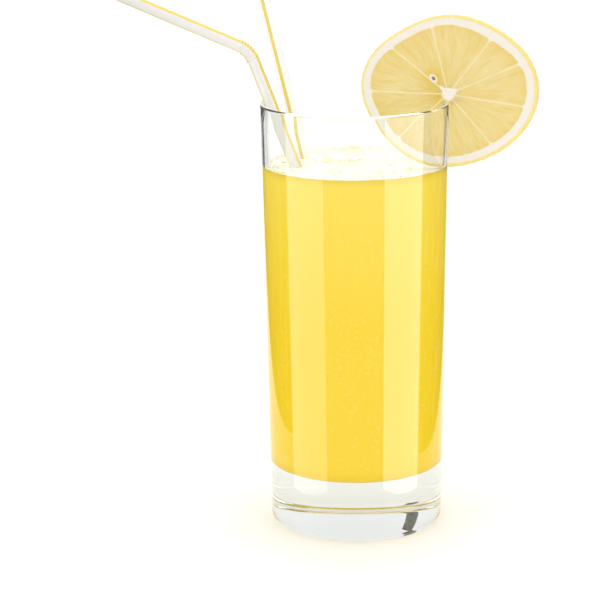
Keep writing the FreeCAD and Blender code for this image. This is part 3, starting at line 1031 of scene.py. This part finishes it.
def keep_off_wall(places, across, outwards):
    """Moves places outwards or inwards until they clear the glass's wall."""
    below_rim = places[:, 2] < RIM_HEIGHT
    distance = np.hypot(places[:, 0], places[:, 1])
    inner = inner_radius(places[:, 2]) - SLIT_GAP
    outer = outer_radius(places[:, 2]) + SLIT_GAP
    within = below_rim & (distance > inner) & (distance < outer)
    move = np.where(across > 0, outer - distance, inner - distance) * within
    places[:, 0] += move * outwards.x
    places[:, 1] += move * outwards.y


# ---- stage, lights and camera ----

FLOOR_HALF = 6.0


def make_floor():
    """A painted studio floor, matt and pale, with a faint unevenness."""
    material, tree = new_material("pale_studio_floor")
    place = add(tree, "ShaderNodeTexCoord").outputs["Object"]
    grain = add(tree, "ShaderNodeTexNoise", {"Vector": place, "Scale": 1 / (40 * MM)})
    colour = add(tree, "ShaderNodeMix", {
        "Factor": grain.outputs["Fac"], "A": srgb("#F4F4F2"), "B": srgb("#F7F7F5")},
        data_type="RGBA")
    shader = add(tree, "ShaderNodeBsdfPrincipled", {
        "Base Color": colour.outputs["Result"], "Roughness": 0.7})
    add(tree, "ShaderNodeOutputMaterial", {"Surface": shader.outputs[0]})
    corners = [(x * FLOOR_HALF, y * FLOOR_HALF, 0)
               for x, y in ((-1, -1), (1, -1), (1, 1), (-1, 1))]
    new_piece("floor", corners, [(0, 1, 2, 3)], [material])


def add_softbox(name, place, aim, width, height, radiance, lights_matt=True):
    """A rectangular softbox that faces a point. The camera never sees it, and a softbox that
    doesn't light matt surfaces shows only as a highlight on gloss."""
    light = bpy.data.lights.new(name, "AREA")
    light.shape = "RECTANGLE"
    light.size = width
    light.size_y = height
    light.energy = radiance * math.pi * width * height
    box = bpy.data.objects.new(name, light)
    box.location = place
    box.rotation_mode = "QUATERNION"
    box.rotation_quaternion = (Vector(aim) - Vector(place)).to_track_quat("-Z", "Y")
    box.visible_camera = False
    box.visible_transmission = False
    box.visible_diffuse = lights_matt
    bpy.context.scene.collection.objects.link(box)


def black_velvet():
    """Black velvet on card: its pile soaks up nearly all light, and is lighter where it is
    brushed the other way."""
    material, tree = new_material("black_velvet_card")
    place = add(tree, "ShaderNodeTexCoord").outputs["Object"]
    pile = add(tree, "ShaderNodeTexNoise",
               {"Vector": place, "Scale": 1 / (16 * MM), "Detail": 3.0})
    brushed = add(tree, "ShaderNodeMapRange", {
        "Value": pile.outputs["Fac"], "From Min": 0.42, "From Max": 0.66})
    colour = add(tree, "ShaderNodeMix", {
        "Factor": brushed.outputs[0], "A": srgb("#282924"), "B": srgb("#8C8B80")},
        data_type="RGBA")
    shader = add(tree, "ShaderNodeBsdfPrincipled", {
        "Base Color": colour.outputs["Result"], "Roughness": 0.9})
    add(tree, "ShaderNodeOutputMaterial", {"Surface": shader.outputs[0]})
    return material


FLAG_HEIGHT = 0.3


def add_flag(name, start, end, material, seen_through):
    """A dark card beside the view, out of the camera's sight, that shades nothing. It keeps
    white out of the glass's side, and draws a dark line where it is seen through the wall."""
    corners = [(*start, 0), (*end, 0), (*end, FLAG_HEIGHT), (*start, FLAG_HEIGHT)]
    card = new_piece(name, corners, [(0, 1, 2, 3)], [material])
    card.visible_camera = card.visible_diffuse = card.visible_shadow = False
    card.visible_transmission = seen_through


def make_lights():
    """A bright studio, a little dimmer at its sides, under a broad overhead softbox. A low
    upright softbox on each side draws a pale band down the glass, and the dark cards stand
    further out."""
    world = bpy.data.worlds.new("studio")
    world.use_nodes = True
    tree = world.node_tree
    tree.nodes.clear()
    way = add(tree, "ShaderNodeTexCoord").outputs["Generated"]
    depth = add(tree, "ShaderNodeSeparateXYZ", {"Vector": way}).outputs["Y"]
    ends = add(tree, "ShaderNodeMath", {0: depth}, operation="ABSOLUTE")
    level = add(tree, "ShaderNodeMapRange", {
        "Value": ends.outputs[0], "From Min": 0.2, "From Max": 0.75, "To Min": 1.0,
        "To Max": 1.06})
    sky = add(tree, "ShaderNodeBackground", {
        "Color": srgb("#FFFFFF"), "Strength": level.outputs[0]})
    add(tree, "ShaderNodeOutputWorld", {"Surface": sky.outputs[0]})
    bpy.context.scene.world = world
    add_softbox("overhead_softbox", (0.0, 0.6, 2.2), (0, 0.6, 0), width=4.0, height=4.0,
                radiance=0.6)
    add_softbox("left_softbox", (-0.058, -0.044, 0.075), (-0.018, -0.0196, 0.075),
                width=0.0583, height=0.15, radiance=1.9, lights_matt=False)
    add_softbox("right_softbox", (0.057, -0.047, 0.075), (0.018, -0.022, 0.075),
                width=0.060, height=0.15, radiance=3.0, lights_matt=False)
    velvet = black_velvet()
    add_flag("left_flag", (-0.135, -0.02), (-0.205, 0.5), velvet, seen_through=False)
    add_flag("right_flag", (0.11, -0.02), (0.135, 0.25), velvet, seen_through=False)
    add_flag("edge_flag", (-0.215, 0.36), (-0.195, 0.47), velvet, seen_through=True)


CAMERA_DISTANCE = 0.8976
CAMERA_HEIGHT = 0.3033
CAMERA_PITCH = -13.954
CAMERA_YAW = 1.253
CAMERA_ROLL = -0.553
CAMERA_LENS = 156.92


def make_camera():
    """The camera stands twice as high as the glass and looks a little down."""
    data = bpy.data.cameras.new("camera")
    data.sensor_width = 36.0
    data.lens = CAMERA_LENS
    camera = bpy.data.objects.new("camera", data)
    turn = (Matrix.Rotation(math.radians(CAMERA_YAW), 4, "Z")
            @ Matrix.Rotation(math.radians(90 + CAMERA_PITCH), 4, "X")
            @ Matrix.Rotation(math.radians(CAMERA_ROLL), 4, "Z"))
    camera.matrix_world = Matrix.Translation((0, -CAMERA_DISTANCE, CAMERA_HEIGHT)) @ turn
    bpy.context.scene.collection.objects.link(camera)
    bpy.context.scene.camera = camera


make_camera()
make_floor()
make_lights()
bpy.context.scene.view_settings.view_transform = "Standard"

turning = turning_nodes()
sweep = straw_nodes(striped_plastic())
left_route, back_route = straw_route("left_straw"), straw_route("back_straw")
crossings = [surface_crossing(route) for route in (left_route, back_route)]
make_glass(turning, clear_glass())
make_drink(turning, cloudy_lemonade(), lemonade_surface(), crossings)
# The straw at the left is painted as shaded grey, the one at the back as backlit white.
make_straw("straw_at_left", "left_straw", left_route, sweep, stripe_turn=58.4, painted_backlight=0.0)
make_straw("straw_at_back", "back_straw", back_route, sweep, stripe_turn=27.8, painted_backlight=1.0)
make_froth(crossings)
make_wheel(fresh_lemon())
